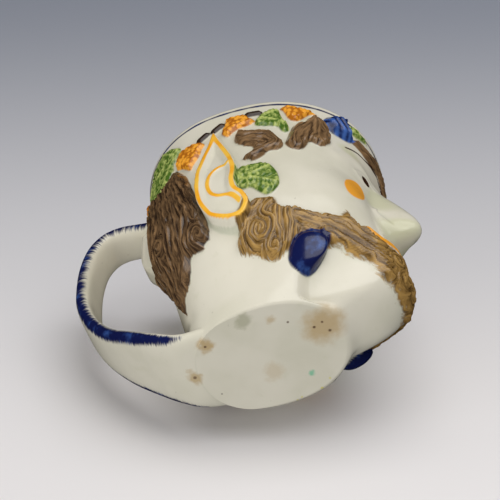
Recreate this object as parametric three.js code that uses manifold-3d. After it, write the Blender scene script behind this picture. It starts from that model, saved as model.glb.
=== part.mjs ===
// Satyr-head mug: one hollow fired piece, head, foot and strap handle together.
// Millimetres, +Z up, underside of the foot at z = 0, face toward -Y, handle toward +Y.

import * as THREE from 'three';
import { mergeVertices } from 'three/addons/utils/BufferGeometryUtils.js';
import Module from 'manifold-3d';

// Driving sizes
const MUG_HEIGHT = 111;
const FOOT_WIDTH = 48;
const FOOT_LENGTH = 59;
const RIM_WIDTH = 92;
const RIM_FRONT = 54;
const RIM_BACK = 44.5;
const BEARD_REACH = 55;
const WALL = 4;
const FLOOR_THICKNESS = 7;
const RIM_ROUND = 1.3;
const ROUNDNESS = 2.2;
const SIDE_BLEND = 0.35;

// Distances round the head are counted as arc length at this radius, from the middle of the face
const GIRTH_RADIUS = 46;

// Facets
const FINE_COLUMNS = 82;
const BACK_COLUMNS = 20;
const FINE_TURN = (2 * Math.PI) / 3;
const ROWS = 39;
const INNER_COLUMNS = 44;
const INNER_ROWS = 9;
const STRAP_STEPS = 22;
const STRAP_SIDES = 12;

// Plain head without carving: reach to the front, side and back at each level
const LEVELS = [
  { z: 0, front: FOOT_LENGTH / 2, side: FOOT_WIDTH / 2, back: FOOT_LENGTH / 2 },
  { z: 3, front: 34.5, side: 25, back: 30 },
  { z: 6, front: 45, side: 26, back: 30 },
  { z: 10, front: 52, side: 27.2, back: 30.5 },
  { z: 14, front: 54.3, side: 28.5, back: 31 },
  { z: 20, front: BEARD_REACH, side: 31, back: 32 },
  { z: 28, front: BEARD_REACH, side: 35, back: 33.5 },
  { z: 36, front: 54, side: 39, back: 35.5 },
  { z: 46, front: 52.5, side: 42.5, back: 39.5 },
  { z: 60, front: 51, side: 45, back: 43.5 },
  { z: 76, front: 51, side: 45.5, back: 43 },
  { z: 90, front: 51, side: RIM_WIDTH / 2, back: 43 },
  { z: MUG_HEIGHT, front: RIM_FRONT, side: RIM_WIDTH / 2, back: RIM_BACK },
];

// Smooth curve through points given as [position, value]
function curveThrough(points, position) {
  const last = points.length - 1;
  if (position <= points[0][0]) {
    return points[0][1];
  }
  if (position >= points[last][0]) {
    return points[last][1];
  }
  let k = 0;
  while (points[k + 1][0] < position) {
    k += 1;
  }
  const slope = (i) => {
    const before = points[Math.max(i - 1, 0)];
    const after = points[Math.min(i + 1, last)];
    return (after[1] - before[1]) / (after[0] - before[0]);
  };
  const span = points[k + 1][0] - points[k][0];
  const t = (position - points[k][0]) / span;
  const t2 = t * t;
  const t3 = t2 * t;
  return (2 * t3 - 3 * t2 + 1) * points[k][1] + (t3 - 2 * t2 + t) * span * slope(k)
    + (3 * t2 - 2 * t3) * points[k + 1][1] + (t3 - t2) * span * slope(k + 1);
}

// Building blocks of the shape, in (u, z): u round the head from the face, z up
function fade(low, high, value) {
  const t = Math.min(Math.max((value - low) / (high - low), 0), 1);
  return t * t * (3 - 2 * t);
}

function dome(u, z, centreU, centreZ, reachU, reachZ) {
  const q = ((u - centreU) / reachU) ** 2 + ((z - centreZ) / reachZ) ** 2;
  return q < 1 ? Math.sqrt(1 - q) : 0;
}

function swell(u, z, centreU, centreZ, reachU, reachZ) {
  const q = ((u - centreU) / reachU) ** 2 + ((z - centreZ) / reachZ) ** 2;
  return q < 1 ? (1 - q) ** 2 : 0;
}

const FRONT_REACH = LEVELS.map((level) => [level.z, level.front]);
const SIDE_REACH = LEVELS.map((level) => [level.z, level.side]);
const BACK_REACH = LEVELS.map((level) => [level.z, level.back]);

// The jaw is drawn in on each side of the chin, the left cheek a little further, and the nape at the back
const JAW_HOLLOW = 7;
const LEFT_HOLLOW = 3;
const NAPE_HOLLOW = 7.5;
const BACK_MIDDLE = Math.PI * GIRTH_RADIUS;

function hollows(turn, z) {
  const u = Math.abs(turn) * GIRTH_RADIUS;
  const jaw = JAW_HOLLOW * swell(u, z, 28, 9, 17, 15);
  const leftCheek = turn > 0 ? LEFT_HOLLOW * swell(u, z, 42, 29, 22, 16) : 0;
  const nape = NAPE_HOLLOW * swell(u, z, BACK_MIDDLE, 52, 26, 24);
  return (jaw + leftCheek + nape) * fade(0, 4, z);
}

// Distance of the plain head from the middle axis; turn is 0 at the face and PI at the handle
function plainRadius(turn, z) {
  const frontShare = fade(-SIDE_BLEND, SIDE_BLEND, Math.cos(turn));
  const back = curveThrough(BACK_REACH, z);
  const ahead = back + (curveThrough(FRONT_REACH, z) - back) * frontShare;
  const acrossPart = Math.abs(Math.sin(turn) / curveThrough(SIDE_REACH, z)) ** ROUNDNESS;
  const aheadPart = Math.abs(Math.cos(turn) / ahead) ** ROUNDNESS;
  return (acrossPart + aheadPart) ** (-1 / ROUNDNESS) - hollows(turn, z);
}

// Distance to a bent line
function distanceTo(u, z, line) {
  let nearest = Infinity;
  for (let i = 0; i + 1 < line.length; i += 1) {
    const [u0, z0] = line[i];
    const [u1, z1] = line[i + 1];
    const lengthSquared = (u1 - u0) ** 2 + (z1 - z0) ** 2;
    const along = ((u - u0) * (u1 - u0) + (z - z0) * (z1 - z0)) / lengthSquared;
    const t = Math.min(Math.max(along, 0), 1);
    nearest = Math.min(nearest, Math.hypot(u - u0 - t * (u1 - u0), z - z0 - t * (z1 - z0)));
  }
  return nearest;
}

// Rounded roll of clay laid along a bent line
function roll(u, z, line, halfWidth) {
  return fade(halfWidth, 0.35 * halfWidth, distanceTo(u, z, line));
}

// Long nose with a drooping tip and small wings, pressed a little to one side
const NOSE_RISE = [
  [38, 0], [41, 1.5], [44, 8], [47, 13], [52, 13.8], [60, 11.3], [68, 7.5], [76, 3], [84, 0],
];
const NOSE_HALF_WIDTH = [[40, 5], [48, 5.8], [56, 6.6], [70, 5.6], [84, 4.6]];
const NOSE_SHIFT = 1.5;
const NOSE_BLUNTNESS = 2.5;

function nose(turn, z) {
  const across = Math.abs(turn * GIRTH_RADIUS + NOSE_SHIFT);
  const ridge = Math.exp(-((across / curveThrough(NOSE_HALF_WIDTH, z)) ** NOSE_BLUNTNESS));
  return curveThrough(NOSE_RISE, z) * ridge + 1.5 * swell(across, z, 7, 46.5, 5, 6);
}

// Brow, eye, cheek and lips on each side of the face
const BROW_RIDGE = [[7, 80], [13, 83.5], [20, 83.5], [26, 79]];
const LIP_LINE = [[0, 26.5], [10, 27], [19.5, 31]];

function face(u, z) {
  const brow = 1.2 * Math.exp(-((distanceTo(u, z, BROW_RIDGE) / 3.6) ** 2));
  const socket = -1.4 * swell(u, z, 13, 76.5, 11, 8.5);
  const eyeball = 2.4 * swell(u, z, 13, 75.7, 7.5, 5.5);
  const cheek = 1.6 * swell(u, z, 28, 52, 18, 18);
  const lips = 2.4 * roll(u, z, LIP_LINE, 4);
  return brow + socket + eyeball + cheek + lips;
}

// Pointed ear with a rolled edge and a hollow bowl: its middle and half width at each level
const EAR_MIDDLE = [[32, 69.5], [40, 72.3], [50, 75], [90, 74.3]];
const EAR_HALF_WIDTH = [[31, 2], [36, 7], [42, 8], [57, 7.2], [66, 6], [80, 2.8], [91, 0.4]];
const EAR_HEIGHT = 5.6;

function ear(u, z) {
  const insideEdge = curveThrough(EAR_HALF_WIDTH, z) - Math.abs(u - curveThrough(EAR_MIDDLE, z));
  const ends = fade(30.5, 34, z) * fade(93, 88, z);
  const body = EAR_HEIGHT * fade(-1.8, 2.4, insideEdge) * ends;
  return body - 2.8 * swell(u, z, 74, 54, 7, 14);
}

// Beard along the jaw from the ear to the chin: upper and lower edge, then locks and curls
const BEARD_TOP = [
  [0, 23.5], [10.5, 25.5], [18, 28], [24.5, 37], [28, 35], [43, 36], [53, 40.5], [61.5, 42.5], [66.5, 38.5],
  [71, 30],
];
const BEARD_FOOT = [
  [0, 8.5], [9.5, 11], [16, 15], [21.5, 18], [31, 20.5], [40, 22], [48, 16], [54.5, 14.5], [66, 18.5],
  [71, 25],
];
const BEARD_END = 71;
const BEARD_RISE = 2.4;
const LOCK_PITCH = 10;

function beard(u, z) {
  const edge = Math.min(curveThrough(BEARD_TOP, u) - z, z - curveThrough(BEARD_FOOT, u), BEARD_END - u);
  const locks = 0.8 * Math.sin((2 * Math.PI * (0.75 * z + 0.6 * u)) / LOCK_PITCH);
  const chinCurls = 1.2 * (swell(u, z, 13, 20, 7, 6) + swell(u, z, 5, 14.5, 7, 6));
  const sideCurls = 2.2 * (swell(u, z, 64, 32, 8, 9) + swell(u, z, 57, 22, 8, 8) + swell(u, z, 54, 34, 8, 7));
  return fade(-1.5, 3, edge) * (BEARD_RISE + locks + chinCurls + sideCurls);
}

// Round wattle under the jaw on each side
const WATTLES = {
  right: { u: 38.3, z: 20.3, reachU: 8.3, reachZ: 9, rise: 6 },
  left: { u: 39, z: 21.5, reachU: 6.5, reachZ: 7, rise: 4.5 },
};

function wattle(turn, z) {
  const drop = turn > 0 ? WATTLES.left : WATTLES.right;
  return drop.rise * dome(Math.abs(turn) * GIRTH_RADIUS, z, drop.u, drop.z, drop.reachU, drop.reachZ);
}

// Curls over the forehead
const TEMPLE_CURL = [[65.5, 84], [60, 84], [55, 80.5], [52, 75], [55, 71], [62, 67]];
const FRONT_CURL = [[45.5, 73], [43, 82], [37.5, 91], [34.5, 86], [34, 79]];

function foreheadCurls(u, z) {
  return 2.6 * roll(u, z, TEMPLE_CURL, 5.4) + 2.6 * roll(u, z, FRONT_CURL, 6);
}

// Garland under the rim, from the back to the brow: vine leaves and bunches of grapes, then a short horn
const GARLAND = [
  { u: 125.5, z: 92, reachU: 6.5, reachZ: 8, rise: 2.4 },
  { u: 104, z: 86, reachU: 15, reachZ: 14.5, rise: 1.8 },
  { u: 86, z: 82.5, reachU: 7.5, reachZ: 10.5, rise: 2.6 },
  { u: 65, z: 94, reachU: 7.5, reachZ: 7.5, rise: 2.6 },
  { u: 51.5, z: 93, reachU: 7, reachZ: 9.5, rise: 1.8 },
  { u: 41, z: 97, reachU: 8, reachZ: 6.5, rise: 2.6 },
  { u: 17, z: 100, reachU: 5.5, reachZ: 6.5, rise: 1.8 },
  { u: 13, z: 96.5, reachU: 7.5, reachZ: 6, rise: 1.8 },
  { u: 3, z: 100, reachU: 9, reachZ: 6.5, rise: 1.8 },
  { u: 59.5, z: 54.5, reachU: 9.5, reachZ: 11.5, rise: 1.8 },
];
const HORN_LINE = [[28, 98], [27, 89]];

function garland(u, z) {
  let height = 4 * roll(u, z, HORN_LINE, 6.5);
  for (const piece of GARLAND) {
    const rounded = fade(0, 0.75, dome(u, z, piece.u, piece.z, piece.reachU, piece.reachZ));
    height = Math.max(height, piece.rise * rounded);
  }
  return height;
}

// Long hair behind the ear in wavy locks, drawn to a point low on the neck
const HAIR_FRONT = [
  [16, 115], [20, 107], [23.5, 103], [27.4, 98.7], [30, 93], [31.5, 84.5], [41.5, 83], [54, 85.5], [84, 91.5],
];
const HAIR_BACK = [
  [16, 116], [20.5, 120], [29, 122], [40, 125.5], [47, 126], [53, 121], [59, 118], [67, 119.5], [84, 119],
];
const HAIR_TOP = 83;
const HAIR_FOOT = 15.5;
const HAIR_RISE = 2.6;
const HAIR_PITCH = 10.5;

function hair(u, z) {
  const fromSides = Math.min(u - curveThrough(HAIR_FRONT, z), curveThrough(HAIR_BACK, z) - u);
  const edge = Math.min(fromSides, z - HAIR_FOOT, HAIR_TOP - z);
  const wave = 0.9 * u + 2.8 * Math.sin(z / 6.5 + 0.08 * u) + 0.32 * z;
  const locks = 0.9 * Math.cos((2 * Math.PI * wave) / HAIR_PITCH + 1);
  const swirl = 1.4 * swell(u, z, 87.5, 34, 8, 8);
  return fade(-1.5, 3.2, edge) * (HAIR_RISE + locks + swirl);
}

// Swelling at the back of the neck that carries the lower end of the handle
const SPUR_RISE = 5;

function spur(u, z) {
  return SPUR_RISE * fade(100, BACK_MIDDLE, u) * fade(17, 3, z) * fade(0, 3, z);
}

// Welt of clay that carries the upper end of the handle: its rise at each level
const WELT_RISE = [[68, 0], [74, 2.5], [80, 6.5], [85, 8.2], [93, 8.2], [104, 7]];
const WELT_HALF_WIDTH = 7;

function welt(u, z) {
  return curveThrough(WELT_RISE, z) * fade(1.3 * WELT_HALF_WIDTH, 0.5 * WELT_HALF_WIDTH, BACK_MIDDLE - u);
}

// All the carving together; it dies away toward the foot and toward the plain lip
function carving(turn, z) {
  const u = Math.abs(turn) * GIRTH_RADIUS;
  const below = Math.max(beard(u, z), wattle(turn, z), ear(u, z), hair(u, z));
  const onHead = Math.max(below, foreheadCurls(u, z), garland(u, z));
  const plainLip = fade(MUG_HEIGHT - 1, MUG_HEIGHT - 5, z);
  return (nose(turn, z) + face(u, z) + onHead + welt(u, z)) * fade(2, 8, z) * plainLip + spur(u, z);
}

// Closed skin from rings of points; each four-cornered patch is split along its shorter diagonal
function skin(rings, columns) {
  const positions = [];
  const faces = [];
  const rows = rings.length;
  rings.forEach((ring) => ring.forEach((point) => positions.push(point.x, point.y, point.z)));
  for (let j = 0; j + 1 < rows; j += 1) {
    for (let i = 0; i < columns; i += 1) {
      const next = (i + 1) % columns;
      const [a, b] = [j * columns + i, j * columns + next];
      const [c, d] = [b + columns, a + columns];
      const rising = rings[j][i].distanceTo(rings[j + 1][next]);
      const falling = rings[j][next].distanceTo(rings[j + 1][i]);
      faces.push(...(rising < falling ? [a, b, c, a, c, d] : [a, b, d, b, c, d]));
    }
  }
  for (const [row, upward] of [[0, false], [rows - 1, true]]) {
    const middle = new THREE.Vector3();
    rings[row].forEach((point) => middle.add(point));
    middle.divideScalar(columns);
    const hub = positions.length / 3;
    positions.push(middle.x, middle.y, middle.z);
    for (let i = 0; i < columns; i += 1) {
      const a = row * columns + i;
      const b = row * columns + ((i + 1) % columns);
      faces.push(...(upward ? [hub, a, b] : [hub, b, a]));
    }
  }
  const geometry = new THREE.BufferGeometry();
  geometry.setAttribute('position', new THREE.Float32BufferAttribute(positions, 3));
  geometry.setIndex(faces);
  return geometry;
}

// Ring round the middle axis at one level, through the given turns from the face (-Y) toward +X
function ringAt(z, turns, radiusAt) {
  return turns.map((turn) => {
    const radius = radiusAt(turn, z);
    return new THREE.Vector3(radius * Math.sin(turn), -radius * Math.cos(turn), z);
  });
}

// Turns of the outside columns, close together over the carved face and sides and wider at the back
function carvedTurns() {
  const turns = [];
  for (let i = 0; i < FINE_COLUMNS; i += 1) {
    turns.push(-FINE_TURN + (2 * FINE_TURN * i) / FINE_COLUMNS);
  }
  for (let i = 0; i < BACK_COLUMNS; i += 1) {
    const turn = FINE_TURN + (2 * (Math.PI - FINE_TURN) * i) / BACK_COLUMNS;
    turns.push(turn > Math.PI ? turn - 2 * Math.PI : turn);
  }
  return turns;
}

function evenTurns(count) {
  return Array.from({ length: count }, (unused, i) => -Math.PI + (2 * Math.PI * i) / count);
}

// Outside of the head; the rows lie closer together where the foot spreads into the beard
function outside() {
  const turns = carvedTurns();
  const rings = [];
  for (let j = 0; j <= ROWS; j += 1) {
    const z = MUG_HEIGHT * (j / ROWS) ** 1.15;
    const lip = RIM_ROUND * fade(MUG_HEIGHT - 2 * RIM_ROUND, MUG_HEIGHT, z);
    rings.push(ringAt(z, turns, (turn, level) => plainRadius(turn, level) + carving(turn, level) - lip));
  }
  return skin(rings, turns.length);
}

// Hollow inside: the plain head, lifted off the floor and everywhere drawn in by at least the wall
function hollow() {
  const turns = evenTurns(INNER_COLUMNS);
  const rings = [];
  const depth = MUG_HEIGHT + 2 - FLOOR_THICKNESS;
  for (let j = 0; j <= INNER_ROWS; j += 1) {
    const z = FLOOR_THICKNESS + depth * (j / INNER_ROWS) ** 1.25;
    const below = Math.min(Math.max(z - FLOOR_THICKNESS, 1), MUG_HEIGHT);
    const beside = Math.min(z, MUG_HEIGHT);
    rings.push(ringAt(z, turns, (turn) => {
      return Math.min(plainRadius(turn, below), plainRadius(turn, beside)) - WALL;
    }));
  }
  return skin(rings, INNER_COLUMNS);
}

// Strap handle: middle line in the YZ plane from the back of the rim to the back of the foot
const STRAP_LINE = [
  [41.5, 104.5], [51, 107.5], [60, 109.8], [67, 108.2], [72.3, 101.5], [75.2, 90.5], [76.2, 77], [75.4, 62],
  [70, 45], [59.5, 28], [45.5, 12.8], [39, 7.4], [33.5, 4.5], [27.5, 3.3], [19, 3.25],
];
const STRAP_HALF_WIDTH = [
  [0, 8.3], [0.2, 8.3], [0.35, 9.2], [0.5, 10.5], [0.65, 12.5], [0.75, 15], [0.86, 17.8], [1, 19],
];
const STRAP_THICKNESS = 6.4;

function strap() {
  const line = new THREE.CatmullRomCurve3(STRAP_LINE.map(([y, z]) => new THREE.Vector3(0, y, z)));
  const rings = [];
  for (let j = 0; j <= STRAP_STEPS; j += 1) {
    const t = j / STRAP_STEPS;
    const centre = line.getPointAt(t);
    const tangent = line.getTangentAt(t);
    const outward = new THREE.Vector3(0, -tangent.z, tangent.y);
    const halfWidth = curveThrough(STRAP_HALF_WIDTH, t);
    rings.push(Array.from({ length: STRAP_SIDES }, (unused, i) => {
      const turn = (2 * Math.PI * i) / STRAP_SIDES;
      const across = Math.sign(Math.cos(turn)) * Math.abs(Math.cos(turn)) ** 0.5 * halfWidth;
      const thick = Math.sign(Math.sin(turn)) * Math.abs(Math.sin(turn)) ** 0.7 * (STRAP_THICKNESS / 2);
      return new THREE.Vector3(across, 0, 0).add(centre).addScaledVector(outward, thick);
    }));
  }
  return skin(rings, STRAP_SIDES);
}

const wasm = await Module();
wasm.setup();

// Solid for joining and cutting; a skin wound inward is turned round
function solid(geometry) {
  const welded = mergeVertices(geometry, 1e-4);
  const points = new Float32Array(welded.attributes.position.array);
  const corners = new Uint32Array(welded.index.array);
  let volume = 0;
  for (let k = 0; k < corners.length; k += 3) {
    const [a, b, c] = [0, 1, 2].map((n) => new THREE.Vector3().fromArray(points, 3 * corners[k + n]));
    volume += a.dot(b.cross(c));
  }
  if (volume < 0) {
    for (let k = 0; k < corners.length; k += 3) {
      [corners[k + 1], corners[k + 2]] = [corners[k + 2], corners[k + 1]];
    }
  }
  return new wasm.Manifold(new wasm.Mesh({ numProp: 3, vertProperties: points, triVerts: corners }));
}

const mugSolid = solid(outside()).add(solid(strap())).subtract(solid(hollow()));
const mugMesh = mugSolid.getMesh();
const mugGeometry = new THREE.BufferGeometry();
mugGeometry.setAttribute('position', new THREE.BufferAttribute(new Float32Array(mugMesh.vertProperties), 3));
mugGeometry.setIndex(new THREE.BufferAttribute(new Uint32Array(mugMesh.triVerts), 1));
mugGeometry.computeVertexNormals();

const glaze = new THREE.MeshStandardMaterial({ color: 0xdcd7c6, roughness: 0.2, metalness: 0 });
const mug = new THREE.Mesh(mugGeometry, glaze);
mug.name = 'satyr_mug';

const group = new THREE.Group();
group.name = 'satyr_head_mug';
group.add(mug);

export default group;
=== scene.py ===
"""Satyr-head mug, glazed and painted, as the photograph shows it."""

import math

import bpy
import numpy as np
from mathutils import Matrix, Vector


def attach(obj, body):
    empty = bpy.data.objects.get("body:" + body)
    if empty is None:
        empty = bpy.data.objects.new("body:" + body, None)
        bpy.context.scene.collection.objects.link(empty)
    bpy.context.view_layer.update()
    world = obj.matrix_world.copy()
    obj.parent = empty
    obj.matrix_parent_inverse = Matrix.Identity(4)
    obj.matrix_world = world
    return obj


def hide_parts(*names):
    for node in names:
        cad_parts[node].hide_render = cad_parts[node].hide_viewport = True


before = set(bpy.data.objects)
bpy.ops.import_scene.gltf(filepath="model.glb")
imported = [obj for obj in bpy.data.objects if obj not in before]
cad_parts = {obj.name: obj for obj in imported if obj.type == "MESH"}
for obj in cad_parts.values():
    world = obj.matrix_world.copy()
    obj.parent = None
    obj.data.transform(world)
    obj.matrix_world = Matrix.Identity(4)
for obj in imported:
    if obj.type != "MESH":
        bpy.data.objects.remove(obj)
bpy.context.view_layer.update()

# Lengths below are millimetres; the scene is in metres
MM = 0.001

# Driving sizes of the mug
MUG_HEIGHT = 111.0
FOOT_WIDTH = 48.0
FOOT_LENGTH = 59.0
RIM_WIDTH = 92.0
RIM_FRONT = 54.0
RIM_BACK = 44.5
BEARD_REACH = 55.0
WALL = 4.0
FLOOR_THICKNESS = 7.0
RIM_ROUND = 1.5
FOOT_ROUND = 1.0
ROUNDNESS = 2.2
SIDE_BLEND = 0.35

# Distances round the head are counted as arc length at this radius, from the middle of the face
GIRTH_RADIUS = 46.0

# Mesh fineness
RIGHT_COLUMNS = 312
LEFT_COLUMNS = 146
BACK_COLUMNS = 14
CARVED_TURN = math.radians(164)
ROWS = 186
ROW_CROWDING = 1.12
INNER_ROWS = 12
STRAP_STEPS = 96
STRAP_SIDES = 38

# Plain head without carving: level, reach to the front, side and back
LEVELS = [
    (0, FOOT_LENGTH / 2, FOOT_WIDTH / 2, FOOT_LENGTH / 2),
    (3, 34.5, 25, 30),
    (6, 45, 26, 30),
    (10, 52, 27.2, 30.5),
    (14, 54.3, 28.5, 31),
    (20, BEARD_REACH, 31, 32),
    (28, BEARD_REACH, 35, 33.5),
    (36, 54, 39, 35.5),
    (46, 52.5, 42.5, 39.5),
    (60, 51, 45, 43.5),
    (76, 51, 45.5, 43),
    (90, 51, RIM_WIDTH / 2, 43),
    (MUG_HEIGHT, RIM_FRONT, RIM_WIDTH / 2, RIM_BACK),
]


def curve_through(points, position):
    """Smooth curve through (position, value) points, level beyond the ends."""
    at = np.array([p[0] for p in points], float)
    value = np.array([p[1] for p in points], float)
    slope = np.gradient(value, at)
    slope[1:-1] = (value[2:] - value[:-2]) / (at[2:] - at[:-2])
    k = np.clip(np.searchsorted(at, position, side="right") - 1, 0, len(at) - 2)
    span = at[k + 1] - at[k]
    t = np.clip((position - at[k]) / span, 0, 1)
    start = (2 * t**3 - 3 * t**2 + 1) * value[k] + (t**3 - 2 * t**2 + t) * span * slope[k]
    end = (3 * t**2 - 2 * t**3) * value[k + 1] + (t**3 - t**2) * span * slope[k + 1]
    return start + end


def fade(low, high, value):
    """Smooth step from 0 at low to 1 at high; low may be the greater of the two."""
    t = np.clip((value - low) / (high - low), 0, 1)
    return t * t * (3 - 2 * t)


def mound(u, z, height, centre, size):
    """Soft round swelling with the given half size, or a hollow where the height is negative."""
    q = ((u - centre[0]) / size[0]) ** 2 + ((z - centre[1]) / size[1]) ** 2
    return height * np.clip(1 - q, 0, None) ** 2


def welt(across, height, width):
    """Rounded welt along a line, or a groove where the height is negative."""
    return height * np.exp(-((across / width) ** 2))


def reach(column, z):
    """One column of LEVELS at the given levels."""
    return curve_through([(level[0], level[column]) for level in LEVELS], z)


# Hollows beside the chin, in the left cheek and at the nape: depth, centre and half size
BACK_MIDDLE = math.pi * GIRTH_RADIUS
JAW_HOLLOW = (7.0, (28, 9), (17, 15))
LEFT_CHEEK_HOLLOW = (3.0, (42, 29), (22, 16))
NAPE_HOLLOW = (7.5, (BACK_MIDDLE, 52), (26, 24))
HOLLOWS_FULL_FROM = 4


def hollows(turn, z):
    """Depth by which the plain head is drawn in."""
    u = np.abs(turn) * GIRTH_RADIUS
    both_sides = mound(u, z, *JAW_HOLLOW) + mound(u, z, *NAPE_HOLLOW)
    left_cheek = np.where(turn > 0, mound(u, z, *LEFT_CHEEK_HOLLOW), 0)
    return (both_sides + left_cheek) * fade(0, HOLLOWS_FULL_FROM, z)


def plain_radius(turn, z):
    """Distance of the plain head from its middle axis; turn is 0 at the face, pi at the handle."""
    front_share = fade(-SIDE_BLEND, SIDE_BLEND, np.cos(turn))
    ahead = reach(3, z) + (reach(1, z) - reach(3, z)) * front_share
    across_part = np.abs(np.sin(turn) / reach(2, z)) ** ROUNDNESS
    ahead_part = np.abs(np.cos(turn) / ahead) ** ROUNDNESS
    return (across_part + ahead_part) ** (-1 / ROUNDNESS) - hollows(turn, z)


def oval_inside(u, z, centre, size, lean=0.0):
    """Rough distance inside an oval, negative outside."""
    du = (u - centre[0]) * math.cos(lean) + (z - centre[1]) * math.sin(lean)
    dz = (z - centre[1]) * math.cos(lean) - (u - centre[0]) * math.sin(lean)
    return (1 - np.hypot(du / size[0], dz / size[1])) * min(size)


def smooth_line(points, closed, steps=6):
    """Dense points on a smooth line through a few given ones."""
    p = np.array(points, float)
    n = len(p)
    count = n if closed else n - 1
    t = np.linspace(0, 1, steps, endpoint=False)[:, None]
    out = []
    for i in range(count):
        if closed:
            a, b, c, d = (p[(i + k) % n] for k in (-1, 0, 1, 2))
        else:
            a, b, c, d = (p[min(max(i + k, 0), n - 1)] for k in (-1, 0, 1, 2))
        bend = (2 * a - 5 * b + 4 * c - d) * t**2
        twist = (3 * b - a - 3 * c + d) * t**3
        out.append(0.5 * (2 * b + (c - a) * t + bend + twist))
    if not closed:
        out.append(p[-1:])
    return np.vstack(out)


# Distances to a line are worked out only this near to it, and stand at a great length beyond
FAR = 6.0
BEYOND = 1e3


def near(u, z, line):
    """Numbers of the places that lie within reach of a line."""
    low = line.min(axis=0) - FAR
    high = line.max(axis=0) + FAR
    return np.flatnonzero((u > low[0]) & (u < high[0]) & (z > low[1]) & (z < high[1]))


def follow(u, z, points, closed=False):
    """Distance to a line, signed by side, and how far along it the nearest place lies."""
    line = smooth_line(points, closed)
    if closed:
        line = np.vstack([line, line[:1]])
    across = np.full(u.shape, BEYOND)
    along = np.zeros(u.shape)
    pick = near(u, z, line)
    if not len(pick):
        return across, along
    pu, pz = u[pick], z[pick]
    best = np.full(pick.shape, BEYOND)
    side = np.ones(pick.shape)
    where = np.zeros(pick.shape)
    run = 0.0
    for (u0, z0), (u1, z1) in zip(line[:-1], line[1:]):
        length = math.hypot(u1 - u0, z1 - z0)
        if length == 0:
            continue
        du, dz = (u1 - u0) / length, (z1 - z0) / length
        t = np.clip((pu - u0) * du + (pz - z0) * dz, 0, length)
        off_u, off_z = pu - u0 - t * du, pz - z0 - t * dz
        distance = np.hypot(off_u, off_z)
        closer = distance < best
        best = np.where(closer, distance, best)
        side = np.where(closer, np.sign(du * off_z - dz * off_u), side)
        where = np.where(closer, run + t, where)
        run += length
    across[pick] = best * np.where(side == 0, 1, side)
    along[pick] = where
    return across, along


def inside(u, z, points):
    """Distance inside a smooth closed outline, negative outside."""
    line = smooth_line(points, True)
    across = follow(u, z, points, True)[0]
    within = np.zeros(u.shape, bool)
    pick = near(u, z, line)
    pu, pz = u[pick], z[pick]
    odd = np.zeros(pick.shape, bool)
    for (u0, z0), (u1, z1) in zip(line, np.roll(line, -1, axis=0)):
        crosses = (z0 > pz) != (z1 > pz)
        if z1 != z0:
            odd ^= crosses & (pu < (u1 - u0) * (pz - z0) / (z1 - z0) + u0)
    within[pick] = odd
    return np.where(within, 1, -1) * np.minimum(np.abs(across), FAR)


# Waves that together make an uneven drift: turns across, turns up and start
WAVES = [(1.3, 2.1, 0.7), (2.3, -1.7, 2.9), (-0.9, 3.1, 5.1)]


def waver(u, z, scale):
    """Slow uneven drift, between about -1 and 1."""
    a, b = u / scale, z / scale
    return sum(np.sin(across * a + up * b + start) for across, up, start in WAVES) / len(WAVES)


# Outlines of the carving as (u, z): u round the head from the face, z up
EAR = [
    (74.5, 91), (72, 83.5), (69.8, 76.5), (67.8, 69), (66.7, 62.5), (66.7, 57.5), (67.5, 52),
    (67, 47.5), (64.5, 44), (63, 39), (65.5, 34.3), (69.8, 33), (75, 34), (79.8, 36.8), (81.7, 40),
    (83.3, 45), (83.8, 50), (83.8, 55), (83.3, 60), (82.7, 65.3), (81.2, 71), (79.7, 76), (77.5, 82),
]
EAR_BOWL = [
    (70, 64), (73.5, 64), (76.5, 61.5), (78, 58), (78.5, 53.5), (77.5, 49), (75, 46.5), (71.5, 45.5),
    (69, 43.5), (67, 40.5),
]
TEMPLE_CURL = [
    (65.5, 90), (63, 89.5), (59.5, 87.5), (56, 87), (53, 86), (51, 83), (49, 79.5), (48, 77),
    (49.5, 73.5), (54, 72), (58, 67.5), (60.5, 66.5), (62.5, 68), (64.5, 69), (63, 71), (60.5, 73),
    (60, 77), (63.5, 79), (66, 81.5), (67, 84.5),
]
FRONT_CURL = [
    (47.5, 77), (46.5, 80.5), (45, 86), (43.5, 91), (39.5, 94.5), (37.5, 98.5), (35.5, 100),
    (32.5, 98), (30, 94.5), (29.5, 90), (29, 86), (30.5, 83), (33.5, 80), (36.5, 80.5), (38.5, 80),
    (39.5, 77), (41.5, 74), (45, 74),
]
BROW_CURL = [
    (19, 96.5), (16.5, 96), (14, 95.5), (8.5, 95), (5, 96), (-0.5, 99), (-6, 101), (-5, 105), (0, 104),
    (6.5, 102.5), (10.5, 101), (16.5, 100.5),
]
BACK_HAIR = [
    (84.5, 34), (87, 33.5), (89.5, 31.5), (93, 32), (96.5, 33), (98.5, 31.5), (101, 28.5), (104.5, 26),
    (109.5, 24.5), (113.5, 24), (116, 21.5), (118.5, 18.5), (120.5, 22), (122.5, 29), (125.5, 40),
    (126, 47), (121, 53), (118, 59), (119.5, 67), (120.5, 75), (116, 82), (110, 83.5), (104.5, 79),
    (101.5, 78.5), (98, 82), (94.5, 84), (91.5, 79), (89, 73.5), (87.5, 67), (86, 60.5), (85, 53),
    (84, 48), (83.5, 43.5), (83.5, 38.5),
]
BEARD = [
    (-6, 28), (2, 28), (8.5, 27.5), (11.5, 26.8), (15.5, 27.3), (19, 29.2), (21.5, 31.5), (24, 35),
    (26, 38.3), (27.5, 36), (29, 33.5), (33, 34.5), (40.5, 35.5), (45, 37.5), (51.5, 39), (53, 42.5),
    (56, 43.5), (60, 44), (63, 43.5), (66.5, 40), (69.5, 35), (70.5, 30.5), (72.5, 27), (71, 23),
    (67, 22), (60.5, 19.5), (55.5, 17.5), (51.5, 17.5), (48, 20), (40, 22), (32, 21), (26, 20.5),
    (20, 17), (16.5, 15.5), (13.5, 13.5), (12, 11), (7, 10), (2, 9.5), (-6, 9.5),
]
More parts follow.
